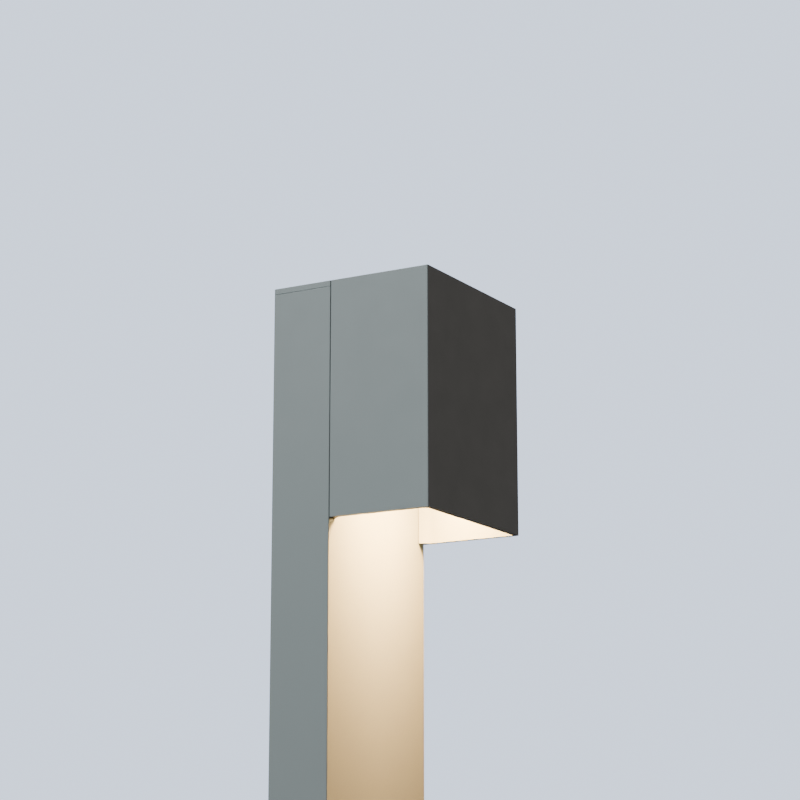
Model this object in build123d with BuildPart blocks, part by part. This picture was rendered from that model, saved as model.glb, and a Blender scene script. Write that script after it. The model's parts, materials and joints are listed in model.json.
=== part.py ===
from build123d import *
from math import radians, tan
import os

# Bollard light: a rectangular post on a base plate, with a box-shaped hood on the front of its top.
# Millimetres. Origin: underside of the base plate, on the post's axis. +Z up, hood towards -Y,
# service door towards +Y, mirror-symmetric about X = 0 apart from the wiring.

os.makedirs("parts", exist_ok=True)

# ---------------------------------------------------------------- driving dimensions
WIDTH = 120.0  # outer width of post, cap and hood
HEIGHT = 900.0  # base plate underside to the top
POST_DEPTH = 42.5
TOTAL_DEPTH = 113.6  # post's rear face to hood's front face
HOOD_HEIGHT = 153.0
SEAM = 0.5  # gap between post and hood, set by the gasket
EDGE_R = 0.8  # hood's front vertical edges
POST_EDGE_R = 0.5  # vertical edges of post and cap, and the hood's beside them
TOP_EDGE_R = 0.3

POST_WALL = 3.0
HOOD_WALL = 2.8
HOOD_TOP = 3.0
HOOD_REAR = 3.0  # closed rear wall above the glass
LIP_W = 7.6  # hood's rear lips where they meet the post, measured from the outer face
COVE_D = 8.2  # how far in front of the post the lips' hollow curve meets the side walls
INNER_R = 1.5  # inner front corners of the hood

CAP_T = 4.0
CAP_RIM = 1.6
CAP_POCKET = 0.6
CAP_LOW_R = 0.45  # the cap's rounded lower edge makes its joint line
POST_END_R = 0.15  # the extrusion's deburred upper end

PLATE_W = 180.0
PLATE_D = 110.0
PLATE_T = 8.0
PLATE_R = 8.0
SLOT_X = 70.0  # slot centres, from the axis
SLOT_Y = 38.0
SLOT_W = 9.0
SLOT_L = 18.0

PORT_R = 4.6  # screw ports in the corners of the extrusion
PORT_INSET = 4.2
M3, M4, M5 = 1.5, 2.0, 2.5  # thread radii
THREAD_GAP = 0.05  # radial gap between a screw and its thread or bore
CLEARANCE = 0.25  # radial gap of a clearance hole
SUNK = 0.04  # depth of a countersunk head below the surface

# ---------------------------------------------------------------- derived places
HALF_W = WIDTH / 2
POST_REAR = POST_DEPTH / 2
POST_FRONT = -POST_REAR
CAVITY_X = HALF_W - POST_WALL
CAVITY_Y = POST_REAR - POST_WALL
HOOD_BACK = POST_FRONT - SEAM
HOOD_FRONT = POST_REAR - TOTAL_DEPTH
HOOD_DEPTH = HOOD_BACK - HOOD_FRONT
HOOD_MID_Y = (HOOD_BACK + HOOD_FRONT) / 2
HOOD_BASE = HEIGHT - HOOD_HEIGHT
CEILING = HEIGHT - HOOD_TOP  # inner top of the hood
CHAMBER_X = HALF_W - HOOD_WALL
CHAMBER_FRONT = HOOD_FRONT + HOOD_WALL
REAR_WALL_Y = HOOD_BACK - HOOD_REAR
POST_TOP = HEIGHT - CAP_T

PORT_X = CAVITY_X - PORT_INSET
PORT_Y = CAVITY_Y - PORT_INSET
PORT_PLACES = [(x, y) for x in (-PORT_X, PORT_X) for y in (-PORT_Y, PORT_Y)]

# Light engine, from the glass frame up. All of it is centred on LIGHT_Y.
LIGHT_Y = -57.5
FRAME_BASE = HEIGHT - 62.0
FRAME_LIP = 2.0
GASKET_T = 1.0
GLASS_T = 4.0
GLASS_BASE = FRAME_BASE + FRAME_LIP + GASKET_T
GLASS_TOP = GLASS_BASE + GLASS_T
FRAME_TOP = GLASS_TOP + 1.0
GLASS_W = 91.0
GLASS_D = 56.0
RIM = 3.5  # width of the frame's lip under the glass
SINK_BASE = FRAME_TOP + 20.0
SINK_T = 4.0
SINK_TOP = SINK_BASE + SINK_T
PAD_T = 1.0
BOARD_T = 1.6
BOARD_TOP = SINK_BASE - PAD_T
BOARD_BASE = BOARD_TOP - BOARD_T
BOARD_W = 68.0
BOARD_D = 42.0
LEAD_R = 2.5
LEAD_Z = CEILING - 9.0
LEAD_Y = LIGHT_Y + 15.0
SINK_BOSS_PLACES = [(x, y) for x in (-44.0, 44.0) for y in (LIGHT_Y - 23.5, LIGHT_Y + 23.5)]
LEG_PLACES = [(x, y) for x in (-51.0, 51.0) for y in (LIGHT_Y - 17.0, LIGHT_Y + 11.0)]
BOARD_SCREW_PLACES = [(x, y) for x in (-30.0, 30.0) for y in (LIGHT_Y - 17.0, LIGHT_Y + 17.0)]
HEAD_SCREW_PLACES = [(x, z) for x in (-34.0, 34.0) for z in (SINK_BASE - 10.0, SINK_TOP + 14.0)]
NARROW_X = HALF_W - LIP_W - 0.6  # half-width of what fits between the rear lips
WIDE_Y = HOOD_BACK - COVE_D - 0.6  # pieces may be wider than that in front of this

# Gear tray and service door.
TRAY_T = 2.0
TRAY_BACK = -CAVITY_Y + 0.5
TRAY_FACE = TRAY_BACK + TRAY_T
TRAY_HALF = 44.0
TRAY_BASE = 40.0
TRAY_TOP = 285.0
DOOR_Z = 160.0  # middle of the service opening
OPENING_W = 84.0
OPENING_H = 205.0
DOOR_GAP = 0.5
DOOR_SCREW_Z = 94.0  # screws, above and below the middle
FRAME_T = 4.0
REBATE = 1.5
DRIVER_BASE = 150.0
DRIVER_H = 108.0
DRIVER_W = 40.0
DRIVER_D = 22.0
DRIVER_TAB = 8.0
TERMINAL_BASE = 74.0
TERMINAL_H = 30.0
TERMINAL_W = 36.0
TERMINAL_D = 19.75
WIRE_Y = -5.0
POLES = [-12.0, 0.0, 12.0]
STUD_PLACE = (-38.0, 11.0)
TRAY_FOOT_X = 36.0
TRAY_SCREW_Y = -6.0

# Cable gland.
GLAND_STEM_R = 10.0
GLAND_TOP_R = 9.0
GLAND_BORE_R = 6.5
SEAL_R = 8.0
SEAL_BORE_R = 5.0
HEX_R = 13.8


def at_y(y):
    """Plane facing -Y at the given y, with X across and Z up."""
    return Plane.XZ.offset(-y)


def pan_screw(thread_r, length, head_r, head_h):
    """Pan-head screw: head from Z = 0 up, shank from Z = 0 down, hexagon socket in the head."""
    with BuildPart() as screw:
        with BuildSketch():
            Circle(head_r)
        extrude(amount=head_h)
        fillet(screw.edges().group_by(Axis.Z)[-1], head_h * 0.4)
        with BuildSketch():
            Circle(thread_r - THREAD_GAP)
        extrude(amount=-length)
        chamfer(screw.edges().group_by(Axis.Z)[0], thread_r * 0.3)
        with BuildSketch(Plane.XY.offset(head_h)):
            RegularPolygon(thread_r * 0.75, 6)
        extrude(amount=-head_h * 0.6, mode=Mode.SUBTRACT)
    return screw.part


def countersunk_screw(thread_r, length, head_r):
    """Countersunk screw: head's face at Z = 0, shank down, hexagon socket in the head."""
    shank_r = thread_r - THREAD_GAP
    with BuildPart() as screw:
        with BuildSketch(Plane.XZ):
            with BuildLine():
                Polyline(
                    (0, 0),
                    (head_r, 0),
                    (shank_r, shank_r - head_r),
                    (shank_r, 0.6 - length),
                    (shank_r - 0.6, -length),
                    (0, -length),
                    close=True,
                )
            make_face()
        revolve(axis=Axis.Z)
        with BuildSketch():
            RegularPolygon(thread_r * 0.75, 6)
        extrude(amount=-thread_r * 0.8, mode=Mode.SUBTRACT)
    return screw.part


def gentle_radii(points):
    """Largest comfortable arc at each corner of a wire's route."""
    radii = []
    for before, corner, after in zip(points, points[1:], points[2:]):
        arriving = Vector(*corner) - Vector(*before)
        leaving = Vector(*after) - Vector(*corner)
        turn = arriving.get_angle(leaving)
        radii.append(0.45 * min(arriving.length, leaving.length) / tan(radians(turn / 2)))
    return radii


def wire_solid(points, radius, radii=None):
    """Round wire along straight runs joined by tangent arcs."""
    radii = radii or gentle_radii(points)
    print("wire arcs:", [round(r, 1) for r in radii])
    with BuildPart() as wire:
        with BuildLine() as route:
            FilletPolyline(*points, radius=radii)
        with BuildSketch(Plane(origin=route.line @ 0, z_dir=route.line % 0)):
            Circle(radius)
        sweep()
    return wire.part


HEAD_DOWN = (180, 0, 0)  # screw placed with its head below
HEAD_FRONT = (90, 0, 0)  # head towards -Y
HEAD_REAR = (-90, 0, 0)  # head towards +Y

# ---------------------------------------------------------------- base plate
with BuildPart() as base_plate:
    with BuildSketch():
        RectangleRounded(PLATE_W, PLATE_D, PLATE_R)
        with GridLocations(2 * SLOT_X, 2 * SLOT_Y, 2, 2):
            SlotOverall(SLOT_L, SLOT_W, mode=Mode.SUBTRACT)
        Circle(GLAND_STEM_R + THREAD_GAP, mode=Mode.SUBTRACT)
        with Locations(*PORT_PLACES):
            Circle(M5 + CLEARANCE, mode=Mode.SUBTRACT)
    extrude(amount=PLATE_T)
    rim = base_plate.faces().sort_by(Axis.Z)[-1].outer_wire()
    chamfer(rim.edges(), 1.0)
    with Locations(*[Location((x, y, 0)) for x, y in PORT_PLACES]):
        Cone(4.75, M5, 4.75 - M5, align=(Align.CENTER, Align.CENTER, Align.MIN), mode=Mode.SUBTRACT)
    with BuildSketch(Plane.XY.offset(PLATE_T)):
        with Locations((-TRAY_FOOT_X, TRAY_SCREW_Y), (TRAY_FOOT_X, TRAY_SCREW_Y)):
            Circle(M4)
        with Locations(STUD_PLACE):
            Circle(M5)
    extrude(amount=-6.5, mode=Mode.SUBTRACT)
base_plate.part.label = "base_plate"
export_step(base_plate.part, "parts/base_plate.step")

base_screw = countersunk_screw(M5, 30.0, 4.7)
with BuildPart() as base_screws:
    with Locations(*[Location((x, y, SUNK), HEAD_DOWN) for x, y in PORT_PLACES]):
        add(base_screw)
base_screws.part.label = "base_screws"
export_step(base_screws.part, "parts/base_screws.step")

# ---------------------------------------------------------------- post
GROMMET_HOLE_R = 5.0
INSERT_R = 3.5
with BuildPart() as post_profile:
    with BuildSketch(Plane.XY.offset(PLATE_T)):
        RectangleRounded(WIDTH, POST_DEPTH, POST_EDGE_R)
        Rectangle(2 * CAVITY_X, 2 * CAVITY_Y, mode=Mode.SUBTRACT)
        with Locations(*PORT_PLACES):
            Circle(PORT_R)
        with GridLocations(2 * PORT_X + PORT_R, 2 * PORT_Y + PORT_R, 2, 2):
            Rectangle(PORT_R, PORT_R)
        with Locations(*PORT_PLACES):
            Circle(M5, mode=Mode.SUBTRACT)
    extrude(amount=POST_TOP - PLATE_T)
    fillet(post_profile.faces().sort_by(Axis.Z)[-1].outer_wire().edges(), POST_END_R)
    # service opening in the rear wall
    with BuildSketch(at_y(POST_REAR)):
        with Locations((0, DOOR_Z)):
            RectangleRounded(OPENING_W, OPENING_H, 6.0)
    extrude(amount=POST_WALL, mode=Mode.SUBTRACT)
    # rivet nut and lead holes in the front wall, hidden behind the hood
    with BuildSketch(at_y(POST_FRONT)):
        with Locations(*HEAD_SCREW_PLACES):
            Circle(INSERT_R)
        with Locations((0, LEAD_Z)):
            Circle(GROMMET_HOLE_R)
    extrude(amount=-POST_WALL, mode=Mode.SUBTRACT)
post_profile.part.label = "post_profile"
export_step(post_profile.part, "parts/post_profile.step")

with BuildPart() as post_cap:
    with BuildSketch(Plane.XY.offset(POST_TOP)):
        RectangleRounded(WIDTH, POST_DEPTH, POST_EDGE_R)
    extrude(amount=CAP_T)
    fillet(post_cap.faces().sort_by(Axis.Z)[-1].edges(), TOP_EDGE_R)
    fillet(post_cap.faces().sort_by(Axis.Z)[0].edges(), CAP_LOW_R)
    with BuildSketch(Plane.XY.offset(POST_TOP)):
        RectangleRounded(WIDTH - 2 * CAP_RIM, POST_DEPTH - 2 * CAP_RIM, 1.0)
    extrude(amount=CAP_POCKET, mode=Mode.SUBTRACT)
    with Locations(*[(x, y, HEIGHT) for x, y in PORT_PLACES]):
        CounterSinkHole(M5 + 0.05, 4.75, counter_sink_angle=90)
post_cap.part.label = "post_cap"
export_step(post_cap.part, "parts/post_cap.step")

with BuildPart() as cap_gasket:
    with BuildSketch(Plane.XY.offset(POST_TOP)):
        RectangleRounded(WIDTH - 2 * CAP_RIM - 0.2, POST_DEPTH - 2 * CAP_RIM - 0.2, 1.0)
        RectangleRounded(2 * PORT_X - 16.0, 2 * PORT_Y - 10.0, 2.0, mode=Mode.SUBTRACT)
        with Locations(*PORT_PLACES):
            Circle(M5 + CLEARANCE, mode=Mode.SUBTRACT)
    extrude(amount=CAP_POCKET)
cap_gasket.part.label = "cap_gasket"
export_step(cap_gasket.part, "parts/cap_gasket.step")

cap_screw = countersunk_screw(M5, 20.0, 4.7)
with BuildPart() as cap_screws:
    with Locations(*[Location((x, y, HEIGHT - SUNK)) for x, y in PORT_PLACES]):
        add(cap_screw)
cap_screws.part.label = "cap_screws"
export_step(cap_screws.part, "parts/cap_screws.step")

# ---------------------------------------------------------------- hood
BOSS_R = 5.0
with BuildPart() as head_housing:
    with BuildSketch(Plane.XY.offset(HOOD_BASE)):
        with Locations((0, HOOD_MID_Y)):
            outline = Rectangle(WIDTH, HOOD_DEPTH)
        fillet(outline.vertices().group_by(Axis.Y)[0], EDGE_R)
        fillet(outline.vertices().group_by(Axis.Y)[-1], POST_EDGE_R)
    extrude(amount=HOOD_HEIGHT)
    fillet(head_housing.faces().sort_by(Axis.Z)[-1].edges(), TOP_EDGE_R)
    # inner space up to the ceiling; hollow curves run from the side walls to the rear lips
    with BuildSketch(Plane.XY.offset(HOOD_BASE)):
        with BuildLine():
            Polyline(
                (-CHAMBER_X, HOOD_BACK - COVE_D),
                (-CHAMBER_X, CHAMBER_FRONT),
                (CHAMBER_X, CHAMBER_FRONT),
                (CHAMBER_X, HOOD_BACK - COVE_D),
            )
            TangentArc((CHAMBER_X, HOOD_BACK - COVE_D), (HALF_W - LIP_W, HOOD_BACK), tangent=(0, 1))
            TangentArc((-CHAMBER_X, HOOD_BACK - COVE_D), (LIP_W - HALF_W, HOOD_BACK), tangent=(0, 1))
            Line((LIP_W - HALF_W, HOOD_BACK), (HALF_W - LIP_W, HOOD_BACK))
        inner = make_face()
        fillet(inner.vertices().group_by(Axis.Y)[0], INNER_R)
    extrude(amount=CEILING - HOOD_BASE, mode=Mode.SUBTRACT)
    # above the light chamber a rear wall closes the hood towards the post
    with BuildSketch(Plane.XY.offset(FRAME_BASE)):
        with Locations((0, HOOD_BACK - HOOD_REAR / 2)):
            Rectangle(2 * (HALF_W - HOOD_WALL), HOOD_REAR)
    extrude(amount=CEILING - FRAME_BASE)
    # bosses for the light engine
    with BuildSketch(Plane.XY.offset(SINK_TOP)):
        with Locations(*SINK_BOSS_PLACES):
            Circle(BOSS_R)
    extrude(amount=CEILING - SINK_TOP)
    with BuildSketch(Plane.XY.offset(SINK_TOP)):
        with Locations(*SINK_BOSS_PLACES):
            Circle(M4)
    extrude(amount=12.0, mode=Mode.SUBTRACT)
    # screw and lead holes in the rear wall
    with BuildSketch(at_y(HOOD_BACK)):
        with Locations(*HEAD_SCREW_PLACES):
            Circle(M5 + CLEARANCE)
        with Locations((0, LEAD_Z)):
            Circle(GROMMET_HOLE_R)
    extrude(amount=HOOD_REAR, mode=Mode.SUBTRACT)
head_housing.part.label = "head_housing"
export_step(head_housing.part, "parts/head_housing.step")

GASKET_INSET = 0.6
with BuildPart() as head_gasket:
    with BuildSketch(at_y(POST_FRONT)):
        with Locations((0, HOOD_BASE + HOOD_HEIGHT / 2)):
            Rectangle(WIDTH - 2 * GASKET_INSET, HOOD_HEIGHT - 2 * GASKET_INSET)
        with Locations((0, (HOOD_BASE + FRAME_BASE) / 2)):
            Rectangle(2 * (HALF_W - LIP_W) + 1.0, FRAME_BASE - HOOD_BASE, mode=Mode.SUBTRACT)
        with Locations(*HEAD_SCREW_PLACES):
            Circle(5.2, mode=Mode.SUBTRACT)
        with Locations((0, LEAD_Z)):
            Circle(GROMMET_HOLE_R + 0.2, mode=Mode.SUBTRACT)
    extrude(amount=SEAM)
head_gasket.part.label = "head_gasket"
export_step(head_gasket.part, "parts/head_gasket.step")

# rivet nuts: flange in the seam, bulb behind the post's front wall
FLANGE_T = SEAM - 0.1
with BuildPart() as rivet_nut:
    with BuildSketch(Plane.XZ):
        with BuildLine():
            Polyline(
                (M5, FLANGE_T),
                (4.8, FLANGE_T),
                (4.8, 0),
                (INSERT_R - THREAD_GAP, 0),
                (INSERT_R - THREAD_GAP, -POST_WALL),
                (4.6, -POST_WALL - 0.1),
                (4.6, -POST_WALL - 2.4),
                (INSERT_R, -POST_WALL - 3.6),
                (INSERT_R, -10.0),
                (M5, -10.0),
                close=True,
            )
        make_face()
    revolve(axis=Axis.Z)
with BuildPart() as head_inserts:
    with Locations(*[Location((x, POST_FRONT, z), HEAD_FRONT) for x, z in HEAD_SCREW_PLACES]):
        add(rivet_nut.part)
head_inserts.part.label = "head_inserts"
export_step(head_inserts.part, "parts/head_inserts.step")

head_screw = pan_screw(M5, 15.0, 4.5, 2.8)
with BuildPart() as head_screws:
    with Locations(*[Location((x, REAR_WALL_Y, z), HEAD_FRONT) for x, z in HEAD_SCREW_PLACES]):
        add(head_screw)
head_screws.part.label = "head_screws"
export_step(head_screws.part, "parts/head_screws.step")

# ---------------------------------------------------------------- light engine
LEG_R = 3.0
SINK_FRONT = CHAMBER_FRONT + 2.0
SINK_BACK = REAR_WALL_Y - 3.2
FIN_T = 2.0
FIN_PLACES = [-32.0, -24.0, -16.0, -8.0, 8.0, 16.0, 24.0, 32.0]
with BuildPart() as heat_sink:
    with BuildSketch(Plane.XY.offset(SINK_BASE)):
        with Locations((0, (SINK_FRONT + SINK_BACK) / 2)):
            Rectangle(2 * NARROW_X, SINK_BACK - SINK_FRONT)
        with Locations((0, (SINK_FRONT + WIDE_Y) / 2)):
            Rectangle(2 * NARROW_X + 5.0, WIDE_Y - SINK_FRONT)
    extrude(amount=SINK_T)
    with BuildSketch(Plane.XY.offset(SINK_TOP)):
        for x in FIN_PLACES:
            with Locations((x, (SINK_FRONT + SINK_BACK) / 2)):
                Rectangle(FIN_T, SINK_BACK - SINK_FRONT - 4.0)
    extrude(amount=CEILING - SINK_TOP - 4.0)
    with BuildSketch(Plane.XY.offset(FRAME_TOP)):
        with Locations(*LEG_PLACES):
            Circle(LEG_R)
    extrude(amount=SINK_BASE - FRAME_TOP)
    with BuildSketch(Plane.XY.offset(FRAME_TOP)):
        with Locations(*LEG_PLACES):
            Circle(M3)
    extrude(amount=14.0, mode=Mode.SUBTRACT)
    with BuildSketch(Plane.XY.offset(SINK_BASE)):
        with Locations(*SINK_BOSS_PLACES):
            Circle(M4 + CLEARANCE)
        with Locations(*BOARD_SCREW_PLACES):
            Circle(M3)
        with Locations((0, LEAD_Y)):
            Circle(LEAD_R + 1.0)
    extrude(amount=SINK_T, mode=Mode.SUBTRACT)
heat_sink.part.label = "heat_sink"
export_step(heat_sink.part, "parts/heat_sink.step")

sink_screw = pan_screw(M4, 14.0, 3.6, 2.4)
with BuildPart() as heat_sink_screws:
    with Locations(*[Location((x, y, SINK_BASE), HEAD_DOWN) for x, y in SINK_BOSS_PLACES]):
        add(sink_screw)
heat_sink_screws.part.label = "heat_sink_screws"
export_step(heat_sink_screws.part, "parts/heat_sink_screws.step")

with BuildPart() as thermal_pad:
    with BuildSketch(Plane.XY.offset(BOARD_TOP)):
        with Locations((0, LIGHT_Y)):
            RectangleRounded(BOARD_W, BOARD_D, 2.0)
        with Locations(*BOARD_SCREW_PLACES):
            Circle(M3 + CLEARANCE, mode=Mode.SUBTRACT)
        with Locations((0, LEAD_Y)):
            Circle(LEAD_R + 1.0, mode=Mode.SUBTRACT)
    extrude(amount=PAD_T)
thermal_pad.part.label = "thermal_pad"
export_step(thermal_pad.part, "parts/thermal_pad.step")

with BuildPart() as led_board:
    with BuildSketch(Plane.XY.offset(BOARD_BASE)):
        with Locations((0, LIGHT_Y)):
            RectangleRounded(BOARD_W, BOARD_D, 2.0)
        with Locations(*BOARD_SCREW_PLACES):
            Circle(M3 + CLEARANCE, mode=Mode.SUBTRACT)
    extrude(amount=BOARD_T)
led_board.part.label = "led_board"
export_step(led_board.part, "parts/led_board.step")

CHIP = 3.5
with BuildPart() as led_chips:
    with BuildSketch(Plane.XY.offset(BOARD_BASE)):
        with Locations((0, LIGHT_Y)):
            with GridLocations(9.0, 14.0, 6, 2):
                Rectangle(CHIP, CHIP)
    extrude(amount=-0.8)
led_chips.part.label = "led_chips"
export_step(led_chips.part, "parts/led_chips.step")

board_screw = pan_screw(M3, 6.0, 2.7, 1.8)
with BuildPart() as board_screws:
    with Locations(*[Location((x, y, BOARD_BASE), HEAD_DOWN) for x, y in BOARD_SCREW_PLACES]):
        add(board_screw)
board_screws.part.label = "board_screws"
export_step(board_screws.part, "parts/board_screws.step")

# reflector: four sloping walls from the board down to a flange that lies on the glass
THROAT = (52.0, 22.0)
MOUTH = (GLASS_W - 2 * RIM - 1.0, GLASS_D - 2 * RIM - 1.0)
REFLECTOR_T = 1.0
with BuildPart() as reflector:
    for growth, mode in ((2 * REFLECTOR_T, Mode.ADD), (0.0, Mode.SUBTRACT)):
        with BuildSketch(Plane.XY.offset(GLASS_TOP)):
            with Locations((0, LIGHT_Y)):
                Rectangle(MOUTH[0] + growth, MOUTH[1] + growth)
        with BuildSketch(Plane.XY.offset(BOARD_BASE)):
            with Locations((0, LIGHT_Y)):
                Rectangle(THROAT[0] + growth, THROAT[1] + growth)
        loft(mode=mode)
    with BuildSketch(Plane.XY.offset(GLASS_TOP)):
        with Locations((0, LIGHT_Y)):
            RectangleRounded(GLASS_W - 1.0, GLASS_D - 1.0, 3.0)
            Rectangle(MOUTH[0], MOUTH[1], mode=Mode.SUBTRACT)
    extrude(amount=REFLECTOR_T)
reflector.part.label = "reflector"
export_step(reflector.part, "parts/reflector.step")

with BuildPart() as glass_cover:
    with BuildSketch(Plane.XY.offset(GLASS_BASE)):
        with Locations((0, LIGHT_Y)):
            RectangleRounded(GLASS_W, GLASS_D, 3.0)
    extrude(amount=GLASS_T)
    chamfer(glass_cover.edges().group_by(Axis.Z)[0], 0.5)
glass_cover.part.label = "glass_cover"
export_step(glass_cover.part, "parts/glass_cover.step")

with BuildPart() as glass_gasket:
    with BuildSketch(Plane.XY.offset(FRAME_BASE + FRAME_LIP)):
        with Locations((0, LIGHT_Y)):
            RectangleRounded(GLASS_W, GLASS_D, 3.0)
            RectangleRounded(GLASS_W - 2 * RIM + 0.6, GLASS_D - 2 * RIM + 0.6, 1.5, mode=Mode.SUBTRACT)
    extrude(amount=GASKET_T)
glass_gasket.part.label = "glass_gasket"
export_step(glass_gasket.part, "parts/glass_gasket.step")

FRAME_FRONT = CHAMBER_FRONT + 0.35
FRAME_BACK = REAR_WALL_Y - 0.35
with BuildPart() as glass_frame:
    with BuildSketch(Plane.XY.offset(FRAME_BASE)) as glass_frame_outline:
        with Locations((0, (FRAME_FRONT + FRAME_BACK) / 2)):
            Rectangle(2 * NARROW_X, FRAME_BACK - FRAME_FRONT)
        with Locations((0, (FRAME_FRONT + WIDE_Y) / 2)):
            Rectangle(2 * CHAMBER_X - 0.8, WIDE_Y - FRAME_FRONT)
        fillet(glass_frame_outline.vertices().group_by(Axis.Y)[0], INNER_R + 0.5)
    extrude(amount=FRAME_TOP - FRAME_BASE)
    with BuildSketch(Plane.XY.offset(FRAME_BASE + FRAME_LIP)):
        with Locations((0, LIGHT_Y)):
            RectangleRounded(GLASS_W + 0.6, GLASS_D + 0.6, 3.2)
    extrude(amount=FRAME_TOP - FRAME_BASE - FRAME_LIP, mode=Mode.SUBTRACT)
    with BuildSketch(Plane.XY.offset(FRAME_BASE)):
        with Locations((0, LIGHT_Y)):
            RectangleRounded(GLASS_W - 2 * RIM, GLASS_D - 2 * RIM, 1.5)
        with Locations(*LEG_PLACES):
            Circle(M3 + CLEARANCE)
    extrude(amount=FRAME_TOP - FRAME_BASE, mode=Mode.SUBTRACT)
    with Locations(*[Location((x, y, FRAME_BASE)) for x, y in LEG_PLACES]):
        Cone(3.05, M3, 3.05 - M3, align=(Align.CENTER, Align.CENTER, Align.MIN), mode=Mode.SUBTRACT)
glass_frame.part.label = "glass_frame"
export_step(glass_frame.part, "parts/glass_frame.step")

frame_screw = countersunk_screw(M3, 20.0, 3.0)
with BuildPart() as glass_frame_screws:
    with Locations(*[Location((x, y, FRAME_BASE + SUNK), HEAD_DOWN) for x, y in LEG_PLACES]):
        add(frame_screw)
glass_frame_screws.part.label = "glass_frame_screws"
export_step(glass_frame_screws.part, "parts/glass_frame_screws.step")

# ---------------------------------------------------------------- lead from the board to the driver
GROMMET_FLANGE = 1.5
grommet_length = SEAM + HOOD_REAR + POST_WALL
with BuildPart() as lead_grommet:
    with Locations(Location((0, -CAVITY_Y, LEAD_Z), HEAD_FRONT)):
        Cylinder(GROMMET_HOLE_R - 0.05, grommet_length, align=(Align.CENTER, Align.CENTER, Align.MIN))
        Cylinder(7.0, GROMMET_FLANGE, align=(Align.CENTER, Align.CENTER, Align.MAX))
    with Locations(Location((0, REAR_WALL_Y, LEAD_Z), HEAD_FRONT)):
        Cylinder(7.0, GROMMET_FLANGE, align=(Align.CENTER, Align.CENTER, Align.MIN))
    with Locations(Location((0, REAR_WALL_Y, LEAD_Z), HEAD_FRONT)):
        Cylinder(LEAD_R + 0.1, 4 * grommet_length, mode=Mode.SUBTRACT)
lead_grommet.part.label = "lead_grommet"
export_step(lead_grommet.part, "parts/lead_grommet.step")

LEAD_BEND_IN = 10.0
LEAD_BEND_OUT = 13.0
driver_mid_y = TRAY_FACE + DRIVER_D / 2
led_lead_route = [
    (0, LEAD_Y, BOARD_TOP),
    (0, LEAD_Y, LEAD_Z),
    (0, 0, LEAD_Z),
    (0, 0, 420.0),
    (10.0, driver_mid_y, 330.0),
    (10.0, driver_mid_y, DRIVER_BASE + DRIVER_H),
]
led_lead_radii = [LEAD_BEND_IN, LEAD_BEND_OUT] + gentle_radii(led_lead_route[2:])
led_lead_solid = wire_solid(led_lead_route, LEAD_R, led_lead_radii)
with BuildPart() as led_lead:
    add(led_lead_solid)
led_lead.part.label = "led_lead"
export_step(led_lead.part, "parts/led_lead.step")

# ---------------------------------------------------------------- gear tray with driver and terminals
TRAY_LIP = 10.0
LEG_W = 16.0
with BuildPart() as gear_tray:
    tray_h = TRAY_TOP - TRAY_BASE
    with BuildSketch(Plane.XY.offset(TRAY_BASE)):
        with Locations((0, TRAY_BACK + TRAY_T / 2)):
            Rectangle(2 * TRAY_HALF, TRAY_T)
        for side in (-1, 1):
            with Locations((side * (TRAY_HALF - TRAY_T / 2), TRAY_BACK + TRAY_LIP / 2)):
                Rectangle(TRAY_T, TRAY_LIP)
    extrude(amount=tray_h)
    # two legs, each with a foot screwed to the base plate
    with BuildSketch(Plane.XY.offset(PLATE_T)):
        for side in (-1, 1):
            with Locations((side * TRAY_FOOT_X, TRAY_BACK + TRAY_T / 2)):
                Rectangle(LEG_W, TRAY_T)
    extrude(amount=TRAY_BASE - PLATE_T)
    with BuildSketch(Plane.XY.offset(PLATE_T)):
        for side in (-1, 1):
            with Locations((side * TRAY_FOOT_X, TRAY_BACK + 9.0)):
                RectangleRounded(LEG_W, 18.0, 1.0)
        with Locations((-TRAY_FOOT_X, TRAY_SCREW_Y), (TRAY_FOOT_X, TRAY_SCREW_Y)):
            Circle(M4 + CLEARANCE, mode=Mode.SUBTRACT)
    extrude(amount=TRAY_T)
    # screw holes for the driver and the terminal block
    with BuildSketch(at_y(TRAY_FACE)):
        with Locations((0, DRIVER_BASE - DRIVER_TAB / 2), (0, DRIVER_BASE + DRIVER_H + DRIVER_TAB / 2)):
            Circle(M4)
        with Locations((-21.0, TERMINAL_BASE + TERMINAL_H / 2), (21.0, TERMINAL_BASE + TERMINAL_H / 2)):
            Circle(M3)
    extrude(amount=TRAY_T, mode=Mode.SUBTRACT)
gear_tray.part.label = "gear_tray"
export_step(gear_tray.part, "parts/gear_tray.step")

tray_screw = pan_screw(M4, 8.0, 3.6, 2.4)
tray_screw_z = PLATE_T + TRAY_T
with BuildPart() as tray_screws:
    with Locations((-TRAY_FOOT_X, TRAY_SCREW_Y, tray_screw_z), (TRAY_FOOT_X, TRAY_SCREW_Y, tray_screw_z)):
        add(tray_screw)
tray_screws.part.label = "tray_screws"
export_step(tray_screws.part, "parts/tray_screws.step")

TAB_T = 2.0
with BuildPart() as led_driver:
    with BuildSketch(Plane.XY.offset(DRIVER_BASE)):
        with Locations((0, driver_mid_y)):
            Rectangle(DRIVER_W, DRIVER_D)
    extrude(amount=DRIVER_H)
    fillet(led_driver.faces().sort_by(Axis.Y)[-1].edges(), 2.0)
    with BuildSketch(at_y(TRAY_FACE)):
        with Locations((0, DRIVER_BASE + DRIVER_H / 2)):
            RectangleRounded(16.0, DRIVER_H + 2 * DRIVER_TAB, 2.0)
        with Locations((0, DRIVER_BASE - DRIVER_TAB / 2), (0, DRIVER_BASE + DRIVER_H + DRIVER_TAB / 2)):
            Circle(M4 + CLEARANCE, mode=Mode.SUBTRACT)
    extrude(amount=-TAB_T)
led_driver.part.label = "led_driver"
export_step(led_driver.part, "parts/led_driver.step")

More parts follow.
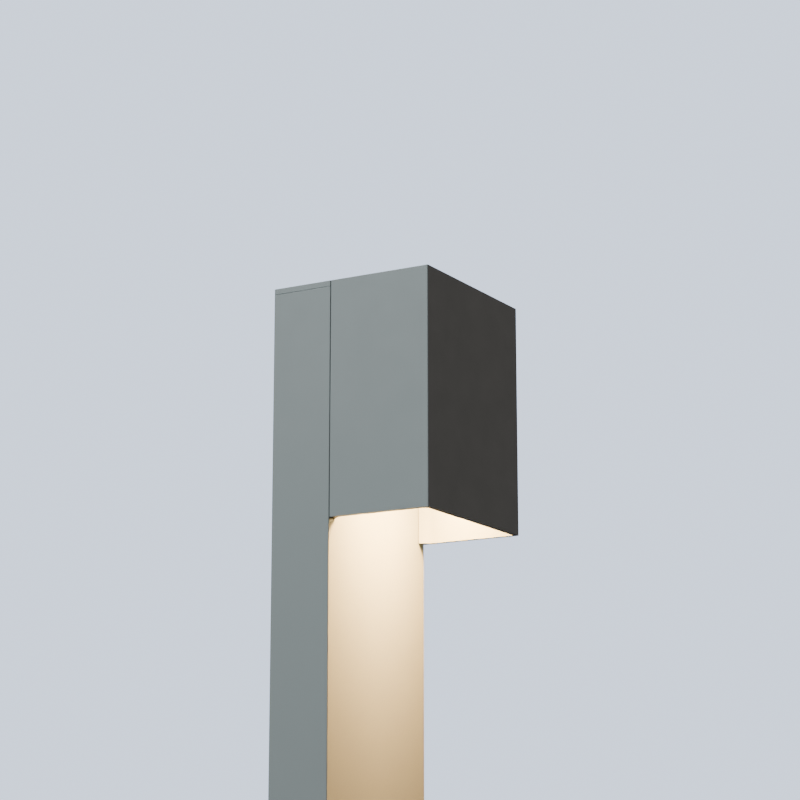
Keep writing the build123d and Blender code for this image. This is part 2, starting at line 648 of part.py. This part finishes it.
driver_screw = pan_screw(M4, 4.0, 3.4, 2.2)
driver_screw_heights = (DRIVER_BASE - DRIVER_TAB / 2, DRIVER_BASE + DRIVER_H + DRIVER_TAB / 2)
with BuildPart() as driver_screws:
    with Locations(*[Location((0, TRAY_FACE + TAB_T, z), HEAD_REAR) for z in driver_screw_heights]):
        add(driver_screw)
driver_screws.part.label = "driver_screws"
export_step(driver_screws.part, "parts/driver_screws.step")

EAR_T = 3.0
with BuildPart() as terminal_block:
    with BuildSketch(Plane.XY.offset(TERMINAL_BASE)):
        with Locations((0, TRAY_FACE + TERMINAL_D / 2)):
            Rectangle(TERMINAL_W, TERMINAL_D)
    extrude(amount=TERMINAL_H)
    chamfer(terminal_block.faces().sort_by(Axis.Y)[-1].edges(), 1.0)
    with BuildSketch(at_y(TRAY_FACE)):
        with Locations((0, TERMINAL_BASE + TERMINAL_H / 2)):
            RectangleRounded(TERMINAL_W + 12.0, 10.0, 2.0)
        for side in (-21.0, 21.0):
            with Locations((side, TERMINAL_BASE + TERMINAL_H / 2)):
                Circle(M3 + CLEARANCE, mode=Mode.SUBTRACT)
    extrude(amount=-EAR_T)
    # wire entries below and above, screw wells in the rear face
    with BuildSketch(Plane.XY.offset(TERMINAL_BASE)):
        with Locations(*[(x, WIRE_Y) for x in POLES]):
            Circle(2.5)
    extrude(amount=9.0, mode=Mode.SUBTRACT)
    with BuildSketch(Plane.XY.offset(TERMINAL_BASE + TERMINAL_H)):
        with Locations(*[(x, WIRE_Y) for x in POLES]):
            Circle(2.0)
    extrude(amount=-9.0, mode=Mode.SUBTRACT)
    with BuildSketch(at_y(TRAY_FACE + TERMINAL_D)):
        with Locations(*[(x, TERMINAL_BASE + h) for x in POLES for h in (6.0, TERMINAL_H - 6.0)]):
            Circle(2.2)
    extrude(amount=4.0, mode=Mode.SUBTRACT)
terminal_block.part.label = "terminal_block"
export_step(terminal_block.part, "parts/terminal_block.step")

terminal_screw = pan_screw(M3, 5.0, 2.7, 1.8)
terminal_mid_z = TERMINAL_BASE + TERMINAL_H / 2
with BuildPart() as terminal_screws:
    with Locations(*[Location((x, TRAY_FACE + EAR_T, terminal_mid_z), HEAD_REAR) for x in (-21.0, 21.0)]):
        add(terminal_screw)
terminal_screws.part.label = "terminal_screws"
export_step(terminal_screws.part, "parts/terminal_screws.step")

# live and neutral, from the terminal block's upper side to the driver's lower end
WIRE_R = 1.4
wire_start_z = TERMINAL_BASE + TERMINAL_H - 8.0
live_route = [
    (POLES[0], WIRE_Y, wire_start_z),
    (POLES[0], WIRE_Y, 118.0),
    (-14.0, driver_mid_y, 134.0),
    (-14.0, driver_mid_y, DRIVER_BASE),
]
neutral_route = [
    (POLES[1], WIRE_Y, wire_start_z),
    (POLES[1], WIRE_Y, 114.0),
    (-9.5, driver_mid_y, 133.0),
    (-9.5, driver_mid_y, DRIVER_BASE),
]
live_wire = wire_solid(live_route, WIRE_R)
neutral_wire = wire_solid(neutral_route, WIRE_R)
with BuildPart() as mains_leads:
    add(live_wire)
    add(neutral_wire)
mains_leads.part.label = "mains_leads"
export_step(mains_leads.part, "parts/mains_leads.step")

# ---------------------------------------------------------------- earth connection on the base plate
LUG_T = 1.2
with BuildPart() as earth_stud:
    with Locations((STUD_PLACE[0], STUD_PLACE[1], PLATE_T - 6.0)):
        Cylinder(M5 - THREAD_GAP, 22.0, align=(Align.CENTER, Align.CENTER, Align.MIN))
    chamfer(earth_stud.edges().group_by(Axis.Z)[-1], 0.6)
earth_stud.part.label = "earth_stud"
export_step(earth_stud.part, "parts/earth_stud.step")

with BuildPart() as earth_nut:
    with BuildSketch(Plane.XY.offset(PLATE_T + LUG_T)):
        with Locations(STUD_PLACE):
            RegularPolygon(4.6, 6)
            Circle(M5, mode=Mode.SUBTRACT)
    extrude(amount=4.0)
earth_nut.part.label = "earth_nut"
export_step(earth_nut.part, "parts/earth_nut.step")

lug_z = PLATE_T + WIRE_R
earth_route = [
    (STUD_PLACE[0] + 9.0, STUD_PLACE[1], lug_z),
    (STUD_PLACE[0] + 19.0, STUD_PLACE[1], lug_z),
    (STUD_PLACE[0] + 23.0, STUD_PLACE[1] - 2.0, 32.0),
    (POLES[0], WIRE_Y, 56.0),
    (POLES[0], WIRE_Y, TERMINAL_BASE + 8.0),
]
earth_wire = wire_solid(earth_route, WIRE_R)
with BuildPart() as earth_lead:
    with BuildSketch(Plane.XY.offset(PLATE_T)):
        with Locations(STUD_PLACE):
            Circle(5.0)
        with Locations((STUD_PLACE[0] + 6.0, STUD_PLACE[1])):
            Rectangle(8.0, 4.0)
        with Locations(STUD_PLACE):
            Circle(M5 + 0.1, mode=Mode.SUBTRACT)
    extrude(amount=LUG_T)
    add(earth_wire)
earth_lead.part.label = "earth_lead"
export_step(earth_lead.part, "parts/earth_lead.step")

# ---------------------------------------------------------------- cable gland in the base plate
GLAND_FLANGE_T = 5.0
GLAND_TOP = PLATE_T + 15.0
SEAL_BASE = PLATE_T + 7.0
with BuildPart() as gland_body:
    with BuildSketch():
        Circle(GLAND_STEM_R)
    extrude(amount=PLATE_T)
    with BuildSketch(Plane.XY.offset(PLATE_T)):
        RegularPolygon(HEX_R, 6)
    extrude(amount=GLAND_FLANGE_T)
    with BuildSketch(Plane.XY.offset(PLATE_T)):
        Circle(GLAND_TOP_R)
    extrude(amount=GLAND_TOP - PLATE_T)
    with BuildSketch():
        Circle(GLAND_BORE_R)
    extrude(amount=GLAND_TOP, mode=Mode.SUBTRACT)
    with BuildSketch(Plane.XY.offset(SEAL_BASE)):
        Circle(SEAL_R)
    extrude(amount=GLAND_TOP - SEAL_BASE, mode=Mode.SUBTRACT)
gland_body.part.label = "gland_body"
export_step(gland_body.part, "parts/gland_body.step")

SEAL_H = 9.5
with BuildPart() as gland_seal:
    with BuildSketch(Plane.XY.offset(SEAL_BASE)):
        Circle(SEAL_R - THREAD_GAP)
        Circle(SEAL_BORE_R, mode=Mode.SUBTRACT)
    extrude(amount=SEAL_H)
gland_seal.part.label = "gland_seal"
export_step(gland_seal.part, "parts/gland_seal.step")

NUT_BASE = PLATE_T + GLAND_FLANGE_T + 1.0
NUT_TOP = SEAL_BASE + SEAL_H + 4.0
with BuildPart() as gland_nut:
    with BuildSketch(Plane.XY.offset(NUT_BASE)):
        RegularPolygon(12.5, 6)
    extrude(amount=9.0)
    with BuildSketch(Plane.XY.offset(NUT_BASE + 9.0)):
        Circle(10.6)
    extrude(amount=NUT_TOP - NUT_BASE - 9.0)
    fillet(gland_nut.edges().group_by(Axis.Z)[-1], 2.0)
    with BuildSketch(Plane.XY.offset(NUT_BASE)):
        Circle(GLAND_TOP_R + THREAD_GAP)
    extrude(amount=SEAL_BASE + SEAL_H - NUT_BASE, mode=Mode.SUBTRACT)
    with BuildSketch(Plane.XY.offset(NUT_BASE)):
        Circle(6.2)
    extrude(amount=NUT_TOP - NUT_BASE, mode=Mode.SUBTRACT)
gland_nut.part.label = "gland_nut"
export_step(gland_nut.part, "parts/gland_nut.step")

# ---------------------------------------------------------------- service door
DOOR_SCREW_PLACES = [(0, DOOR_Z - DOOR_SCREW_Z), (0, DOOR_Z + DOOR_SCREW_Z)]
SILL_W = OPENING_W - 15.0
SILL_H = OPENING_H - 36.0
REBATE_W = OPENING_W - 2.0
REBATE_H = OPENING_H - 1.0
SCREW_BOSS = 6.0
with BuildPart() as door_frame:
    with BuildSketch(at_y(CAVITY_Y)):
        with Locations((0, DOOR_Z)):
            RectangleRounded(OPENING_W + 11.0, OPENING_H + 16.0, 5.0)
    extrude(amount=FRAME_T)
    with BuildSketch(at_y(CAVITY_Y)):
        with Locations((0, DOOR_Z)):
            RectangleRounded(REBATE_W, REBATE_H, 5.0)
    extrude(amount=REBATE, mode=Mode.SUBTRACT)
    with BuildSketch(at_y(CAVITY_Y)):
        with Locations((0, DOOR_Z)):
            RectangleRounded(SILL_W, SILL_H, 4.0)
    extrude(amount=FRAME_T, mode=Mode.SUBTRACT)
    with BuildSketch(at_y(CAVITY_Y - FRAME_T)):
        with Locations(*DOOR_SCREW_PLACES):
            Circle(5.0)
    extrude(amount=SCREW_BOSS)
    with BuildSketch(at_y(CAVITY_Y)):
        with Locations(*DOOR_SCREW_PLACES):
            Circle(M5)
    extrude(amount=FRAME_T + SCREW_BOSS, mode=Mode.SUBTRACT)
door_frame.part.label = "door_frame"
export_step(door_frame.part, "parts/door_frame.step")

with BuildPart() as door_gasket:
    with BuildSketch(at_y(CAVITY_Y)):
        with Locations((0, DOOR_Z)):
            RectangleRounded(REBATE_W - 0.2, REBATE_H - 0.2, 4.9)
            RectangleRounded(SILL_W + 1.0, SILL_H + 1.0, 4.5, mode=Mode.SUBTRACT)
        with Locations(*DOOR_SCREW_PLACES):
            Circle(M5 + 0.5, mode=Mode.SUBTRACT)
    extrude(amount=REBATE)
door_gasket.part.label = "door_gasket"
export_step(door_gasket.part, "parts/door_gasket.step")

with BuildPart() as service_door:
    with BuildSketch(at_y(POST_REAR)):
        with Locations((0, DOOR_Z)):
            RectangleRounded(OPENING_W - 2 * DOOR_GAP, OPENING_H - 2 * DOOR_GAP, 6.0 - DOOR_GAP)
    extrude(amount=POST_WALL)
    fillet(service_door.faces().sort_by(Axis.Y)[-1].edges(), 0.4)
    with Locations(*[Location((x, POST_REAR, z), HEAD_REAR) for x, z in DOOR_SCREW_PLACES]):
        CounterSinkHole(M5 + CLEARANCE, 4.75, counter_sink_angle=90)
service_door.part.label = "service_door"
export_step(service_door.part, "parts/service_door.step")

door_screw = countersunk_screw(M5, 12.0, 4.7)
with BuildPart() as door_screws:
    with Locations(*[Location((x, POST_REAR - SUNK, z), HEAD_REAR) for x, z in DOOR_SCREW_PLACES]):
        add(door_screw)
door_screws.part.label = "door_screws"
export_step(door_screws.part, "parts/door_screws.step")
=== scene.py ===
import json
import math

import bpy
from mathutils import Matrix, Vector


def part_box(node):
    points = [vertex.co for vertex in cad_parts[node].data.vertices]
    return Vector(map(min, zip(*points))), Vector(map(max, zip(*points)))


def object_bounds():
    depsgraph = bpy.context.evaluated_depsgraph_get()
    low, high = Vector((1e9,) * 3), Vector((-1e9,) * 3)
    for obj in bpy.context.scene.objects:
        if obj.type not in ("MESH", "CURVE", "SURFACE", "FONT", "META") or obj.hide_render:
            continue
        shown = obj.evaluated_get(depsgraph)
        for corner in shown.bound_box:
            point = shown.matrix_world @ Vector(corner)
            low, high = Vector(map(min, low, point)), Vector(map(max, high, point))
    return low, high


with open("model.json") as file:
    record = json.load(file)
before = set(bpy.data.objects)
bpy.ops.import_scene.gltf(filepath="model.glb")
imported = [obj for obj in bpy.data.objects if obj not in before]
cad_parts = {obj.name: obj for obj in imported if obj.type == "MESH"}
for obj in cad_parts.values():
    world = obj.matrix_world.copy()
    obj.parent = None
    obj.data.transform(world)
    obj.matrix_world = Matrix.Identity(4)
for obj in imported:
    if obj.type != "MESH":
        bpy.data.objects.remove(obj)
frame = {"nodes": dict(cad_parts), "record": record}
cad_low, cad_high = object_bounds()

MM = 0.001


# ------------------------------------------------------------------ node helpers
def new_material(name):
    """An empty node material with its shader and output."""
    material = bpy.data.materials.new(name)
    material.use_nodes = True
    tree = material.node_tree
    tree.nodes.clear()
    shader = tree.nodes.new("ShaderNodeBsdfPrincipled")
    output = tree.nodes.new("ShaderNodeOutputMaterial")
    tree.links.new(shader.outputs["BSDF"], output.inputs["Surface"])
    return material, tree, shader


def noise(tree, scale, detail=4.0, roughness=0.55, stretch=(1.0, 1.0, 1.0)):
    """Noise in the object's own coordinates; scale is in cells per metre."""
    coords = tree.nodes.new("ShaderNodeTexCoord")
    mapping = tree.nodes.new("ShaderNodeMapping")
    mapping.inputs["Scale"].default_value = stretch
    tree.links.new(coords.outputs["Object"], mapping.inputs["Vector"])
    texture = tree.nodes.new("ShaderNodeTexNoise")
    texture.inputs["Scale"].default_value = scale
    texture.inputs["Detail"].default_value = detail
    texture.inputs["Roughness"].default_value = roughness
    tree.links.new(mapping.outputs["Vector"], texture.inputs["Vector"])
    return texture.outputs["Fac"]


def upward(tree, kind):
    """The Z part of a texture coordinate: Object, Normal or Generated."""
    coords = tree.nodes.new("ShaderNodeTexCoord")
    split = tree.nodes.new("ShaderNodeSeparateXYZ")
    tree.links.new(coords.outputs[kind], split.inputs["Vector"])
    return split.outputs["Z"]


def remap(tree, value, low, high, source_low=0.3, source_high=0.7):
    """Stretches a texture's value between two levels."""
    node = tree.nodes.new("ShaderNodeMapRange")
    node.inputs["From Min"].default_value = source_low
    node.inputs["From Max"].default_value = source_high
    node.inputs["To Min"].default_value = low
    node.inputs["To Max"].default_value = high
    tree.links.new(value, node.inputs["Value"])
    return node.outputs["Result"]


def product(tree, first, second):
    node = tree.nodes.new("ShaderNodeMath")
    node.operation = "MULTIPLY"
    tree.links.new(first, node.inputs[0])
    tree.links.new(second, node.inputs[1])
    return node.outputs["Value"]


def mix_colours(tree, factor, first, second):
    """Colour between two colours; either may be a socket."""
    node = tree.nodes.new("ShaderNodeMix")
    node.data_type = "RGBA"
    tree.links.new(factor, node.inputs["Factor"])
    for socket, colour in ((node.inputs["A"], first), (node.inputs["B"], second)):
        if isinstance(colour, bpy.types.NodeSocket):
            tree.links.new(colour, socket)
        else:
            socket.default_value = (*colour, 1.0)
    return node.outputs["Result"]


def bump(tree, shader, height, distance, strength=1.0):
    """Fine relief on the shader's normal; distance in metres."""
    node = tree.nodes.new("ShaderNodeBump")
    node.inputs["Strength"].default_value = strength
    node.inputs["Distance"].default_value = distance
    tree.links.new(height, node.inputs["Height"])
    tree.links.new(node.outputs["Normal"], shader.inputs["Normal"])


def shade(colour, factor):
    return tuple(min(1.0, channel * factor) for channel in colour)


# ------------------------------------------------------------------ materials
def surface(name, colour, rough, metallic=0.0, spread=0.08, patch=30.0, grain=2500.0, relief=0.03,
            stretch=(1.0, 1.0, 1.0)):
    """A finish with soft colour patches, uneven gloss and a fine grain.
    patch and grain are in cells per metre, and relief is in millimetres."""
    material, tree, shader = new_material(name)
    shader.inputs["Metallic"].default_value = metallic
    patches = remap(tree, noise(tree, patch, stretch=stretch), 0.0, 1.0)
    colours = mix_colours(tree, patches, shade(colour, 1 - spread), shade(colour, 1 + spread))
    tree.links.new(colours, shader.inputs["Base Color"])
    gloss = remap(tree, noise(tree, patch * 4), rough - 0.06, rough + 0.06)
    tree.links.new(gloss, shader.inputs["Roughness"])
    bump(tree, shader, noise(tree, grain, 3.0, stretch=stretch), relief * MM)
    return material


def shade_rim_mask(tree, height):
    """1 on faces that look straight down within a millimetre of a height, else 0: the mask of painted
    shade on a lower rim.
    """
    near = remap(tree, upward(tree, "Object"), 1.0, 0.0, height + 0.5 * MM, height + 1.0 * MM)
    down = remap(tree, upward(tree, "Normal"), 1.0, 0.0, -0.95, -0.80)
    return product(tree, near, down)


def powder_coat(name, colour, shade_rim_height=None):
    """Powder coat with faint clouds, a pinhead grain and dust low on the post.
    The rim argument gives the height of a lower edge whose downward faces get painted shade, near black."""
    material, tree, shader = new_material(name)
    clouds = remap(tree, noise(tree, 9.0, 3.0), 0.0, 1.0)
    base = mix_colours(tree, clouds, shade(colour, 0.99), shade(colour, 1.01))
    grains = remap(tree, noise(tree, 1800.0, 2.0), 0.0, 0.22, 0.42, 0.68)
    base = mix_colours(tree, grains, base, shade(colour, 1.25))
    near_ground = remap(tree, upward(tree, "Object"), 0.30, 0.0, 0.0, 0.16)
    uneven = remap(tree, noise(tree, 26.0, 6.0), 0.2, 1.0)
    base = mix_colours(tree, product(tree, near_ground, uneven), base, DUST)
    # Painted shade: the downward faces at the hood's lower rim are made near black, in place of the bounce
    # light they would get.
    if shade_rim_height is not None:
        base = mix_colours(tree, shade_rim_mask(tree, shade_rim_height), base, PAINTED_SHADE_BLACK)
    tree.links.new(base, shader.inputs["Base Color"])
    tree.links.new(remap(tree, noise(tree, 60.0, 4.0), 0.42, 0.52), shader.inputs["Roughness"])
    bump(tree, shader, noise(tree, 1500.0, 3.0, 0.6), 0.045 * MM, 0.6)
    return material


def clear_glass(name):
    """Toughened glass with a faint green tint, thinly dusty."""
    material, tree, shader = new_material(name)
    shader.inputs["Transmission Weight"].default_value = 1.0
    shader.inputs["IOR"].default_value = 1.5
    dust = remap(tree, noise(tree, 140.0, 6.0), 0.0, 1.0, 0.45, 0.75)
    tint = mix_colours(tree, dust, (0.97, 0.99, 0.975), (0.93, 0.945, 0.93))
    tree.links.new(tint, shader.inputs["Base Color"])
    tree.links.new(remap(tree, dust, 0.02, 0.10, 0.0, 1.0), shader.inputs["Roughness"])
    return material


def glowing(name, colour, glow, strength):
    """A moulded part that gives out light, a little uneven. For the LEDs this is their own light; for the
    reflector it is painted light, a glow in place of the light it catches.
    """
    material, tree, shader = new_material(name)
    cells = remap(tree, noise(tree, 300.0, 3.0), 0.0, 1.0)
    tree.links.new(mix_colours(tree, cells, shade(colour, 0.92), colour), shader.inputs["Base Color"])
    tree.links.new(mix_colours(tree, cells, shade(glow, 0.93), glow), shader.inputs["Emission Color"])
    shader.inputs["Emission Strength"].default_value = strength
    tree.links.new(remap(tree, cells, 0.3, 0.4, 0.0, 1.0), shader.inputs["Roughness"])
    return material


def zinc(name):
    """Zinc-plated sheet with its crystal pattern."""
    material, tree, shader = new_material(name)
    coords = tree.nodes.new("ShaderNodeTexCoord")
    crystals = tree.nodes.new("ShaderNodeTexVoronoi")
    crystals.inputs["Scale"].default_value = 160.0
    tree.links.new(coords.outputs["Object"], crystals.inputs["Vector"])
    shader.inputs["Metallic"].default_value = 1.0
    grey = tree.nodes.new("ShaderNodeRGBToBW")
    tree.links.new(crystals.outputs["Color"], grey.inputs["Color"])
    tone = remap(tree, grey.outputs["Val"], 0.0, 1.0, 0.1, 0.9)
    colours = mix_colours(tree, tone, (0.52, 0.54, 0.56), (0.68, 0.69, 0.70))
    tree.links.new(colours, shader.inputs["Base Color"])
    tree.links.new(remap(tree, tone, 0.30, 0.46, 0.0, 1.0), shader.inputs["Roughness"])
    bump(tree, shader, noise(tree, 900.0, 3.0), 0.01 * MM)
    return material


PAINT = (0.215, 0.2475, 0.250)
# Near-black colour of the painted shade on the hood's lower rim.
PAINTED_SHADE_BLACK = (0.012, 0.011, 0.011)
DUST = (0.33, 0.30, 0.26)

FINISHES = {
    "powder_coat": powder_coat("paint_grey", PAINT),
    "inner_coat": surface("paint_light", (0.60, 0.58, 0.54), 0.5, spread=0.04, grain=1500.0, relief=0.04),
    "stainless": surface(
        "stainless_steel", (0.74, 0.80, 0.84), 0.38,
        metallic=0.85, spread=0.06, patch=400.0, grain=6000.0, relief=0.006, stretch=(1, 1, 8),
    ),
    "seal_rubber": surface(
        "black_rubber", (0.018, 0.018, 0.019), 0.72, spread=0.2, grain=2200.0, relief=0.04,
    ),
    "bare_aluminium": surface(
        "cast_aluminium", (0.66, 0.67, 0.68), 0.42,
        metallic=1.0, spread=0.06, patch=60.0, grain=1400.0, relief=0.05,
    ),
    "zinc_sheet": zinc("zinc_sheet"),
    "plated_steel": surface(
        "plated_steel", (0.62, 0.60, 0.52), 0.36, metallic=1.0, patch=200.0, grain=4000.0, relief=0.01,
    ),
    "brass": surface(
        "plain_brass", (0.72, 0.52, 0.22), 0.32, metallic=1.0, patch=150.0, grain=4000.0, relief=0.01,
    ),
    "thermal_silicone": surface(
        "silicone_pad", (0.34, 0.37, 0.40), 0.8, spread=0.05, grain=1200.0, relief=0.05,
    ),
    "board_mask": surface(
        "white_solder_mask", (0.80, 0.80, 0.77), 0.35, spread=0.03, grain=1800.0, relief=0.01,
    ),
    "led_phosphor": glowing("led_phosphor", (0.95, 0.78, 0.30), (1.0, 0.78, 0.50), 40.0),
    # Painted light: the reflector glows warm in place of the LEDs' light falling on it; it is no lamp.
    "reflector_white": glowing("reflector_white", (0.86, 0.86, 0.84), (1.0, 0.76, 0.50), 2.5),
    "clear_glass": clear_glass("toughened_glass"),
    "lead_sheath": surface(
        "black_sheath", (0.020, 0.020, 0.021), 0.5, spread=0.15, grain=1500.0, relief=0.02,
    ),
    "earth_sheath": surface(
        "green_sheath", (0.05, 0.22, 0.04), 0.45, spread=0.15, grain=1500.0, relief=0.02,
    ),
    "driver_case": surface("white_case", (0.66, 0.66, 0.64), 0.45, spread=0.04, grain=1600.0, relief=0.04),
    "terminal_plastic": surface("grey_polyamide", (0.16, 0.17, 0.18), 0.5, grain=1600.0, relief=0.04),
    "gland_plastic": surface(
        "black_polyamide", (0.022, 0.022, 0.024), 0.5, spread=0.1, grain=1600.0, relief=0.04,
    ),
}
# The hood's paint carries painted shade, near black, on the downward faces of its lower rim.
HOOD_PAINT = powder_coat("paint_grey_hood", PAINT, shade_rim_height=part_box("head_housing")[0].z)

for row in frame["record"]["subparts"]:
    finish = HOOD_PAINT if row["node"] == "head_housing" else FINISHES[row["material_slot"]]
    for slot in frame["nodes"][row["node"]].material_slots:
        slot.material = finish


# ------------------------------------------------------------------ floor, lights, world
def pale_floor():
    """A wide plain floor under the base plate. Its bounce is left out of the soft light on the object."""
    half = 60.0
    corners = [(-half, -half, 0), (half, -half, 0), (half, half, 0), (-half, half, 0)]
    mesh = bpy.data.meshes.new("floor")
    mesh.from_pydata(corners, [], [(0, 1, 2, 3)])
    floor = bpy.data.objects.new("floor", mesh)
    bpy.context.collection.objects.link(floor)
    pale = surface("pale_floor", (0.70, 0.72, 0.74), 0.8, spread=0.02, patch=2.0, relief=0.0)
    mesh.materials.append(pale)
    floor.visible_diffuse = False
    floor.visible_glossy = False


def light(name, kind, place, target, power, colour=(1.0, 1.0, 1.0)):
    """A light at a place, facing a target, that no camera ray sees."""
    data = bpy.data.lights.new(name, kind)
    data.energy = power
    data.color = colour
    lamp = bpy.data.objects.new(name, data)
    lamp.location = place
    lamp.rotation_euler = (Vector(target) - Vector(place)).to_track_quat("-Z", "Y").to_euler()
    lamp.visible_camera = False
    bpy.context.collection.objects.link(lamp)
    return data


def panel(name, place, target, size, power, colour=(1.0, 1.0, 1.0), spread=180):
    """A rectangular soft light; size is (width, height) in metres, and spread is in degrees."""
    data = light(name, "AREA", place, target, power, colour)
    data.shape = "RECTANGLE"
    data.size, data.size_y = size
    data.spread = math.radians(spread)


GROUND_LIGHT = (0.036, 0.030, 0.027)
SKY_LIGHT = (0.320, 0.284, 0.270)
SKY_SEEN = (1.20, 1.38, 1.72)


def soft_world():
    """Pale even backdrop. As a light it is dimmer than it looks, and dim below the horizon."""
    world = bpy.data.worlds.new("studio")
    bpy.context.scene.world = world
    world.use_nodes = True
    tree = world.node_tree
    tree.nodes.clear()
    height = remap(tree, upward(tree, "Generated"), 0.0, 1.0, -0.25, 0.25)
    lighting = tree.nodes.new("ShaderNodeBackground")
    tree.links.new(mix_colours(tree, height, GROUND_LIGHT, SKY_LIGHT), lighting.inputs["Color"])
    seen = tree.nodes.new("ShaderNodeBackground")
    seen.inputs["Color"].default_value = (*SKY_SEEN, 1.0)
    path = tree.nodes.new("ShaderNodeLightPath")
    mix = tree.nodes.new("ShaderNodeMixShader")
    output = tree.nodes.new("ShaderNodeOutputWorld")
    tree.links.new(path.outputs["Is Camera Ray"], mix.inputs["Fac"])
    tree.links.new(lighting.outputs["Background"], mix.inputs[1])
    tree.links.new(seen.outputs["Background"], mix.inputs[2])
    tree.links.new(mix.outputs["Shader"], output.inputs["Surface"])


def daylight():
    """A soft high sun from behind, a cool key on the side, and a fill from the other side."""
    head = (0, 0, 0.75 * cad_high.z)
    sun = light("soft_sun", "SUN", (-0.36, 0.42, 0.83), (0, 0, 0), 4.3, (0.93, 0.985, 1.0))
    sun.angle = math.radians(40)
    panel("key", (-1.5, 0.6, 1.55), head, (1.0, 1.0), 13.5, (0.86, 0.97, 1.0))
    panel("side_fill", (2.4, 0.8, 1.3), head, (1.6, 1.6), 24.0)


WARM = (1.0, 0.55, 0.20)


def lamp_light():
    """The lamp's own light, from just below the glass: a wide glow, a wash on each side wall of the hood,
    and a beam from the glass's front edge that leans back onto the post."""
    glass_low, glass_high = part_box("glass_cover")
    middle = (glass_low.y + glass_high.y) / 2
    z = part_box("glass_frame")[0].z - 0.5 * MM
    glow_y = middle + 5.0 * MM
    panel("lamp_glow", (0, glow_y, z), (0, glow_y, 0), (0.076, 0.034), 4.7, WARM, spread=95)
    for name, side in (("lamp_wash_left", -1), ("lamp_wash_right", 1)):
        wall_foot = (side * 0.057, middle, z - 0.070)
        panel(name, (side * 0.020, middle, z), wall_foot, (0.020, 0.024), 0.36, WARM, spread=55)
    beam_y = middle - 20.5 * MM
    post_foot = (0, beam_y + 44.5 * MM, z - 0.100)
    panel("lamp_beam", (0, beam_y, z), post_foot, (0.080, 0.012), 0.28, WARM, spread=33)


pale_floor()
soft_world()
daylight()
lamp_light()


# ------------------------------------------------------------------ camera
def low_camera():
    """A low viewpoint off the hood's front left, looking slightly up."""
    data = bpy.data.cameras.new("camera")
    data.lens = 102.6
    data.sensor_width = 36.0
    data.clip_start = 0.01
    data.clip_end = 200.0
    camera = bpy.data.objects.new("camera", data)
    camera.location = (-1.2456, -0.7585, 0.4925)
    yaw = math.radians(30.06)
    pitch = math.radians(13.27)
    forward = Vector((math.cos(yaw) * math.cos(pitch), math.sin(yaw) * math.cos(pitch), math.sin(pitch)))
    camera.rotation_euler = forward.to_track_quat("-Z", "Y").to_euler()
    bpy.context.collection.objects.link(camera)
    bpy.context.scene.camera = camera


low_camera()
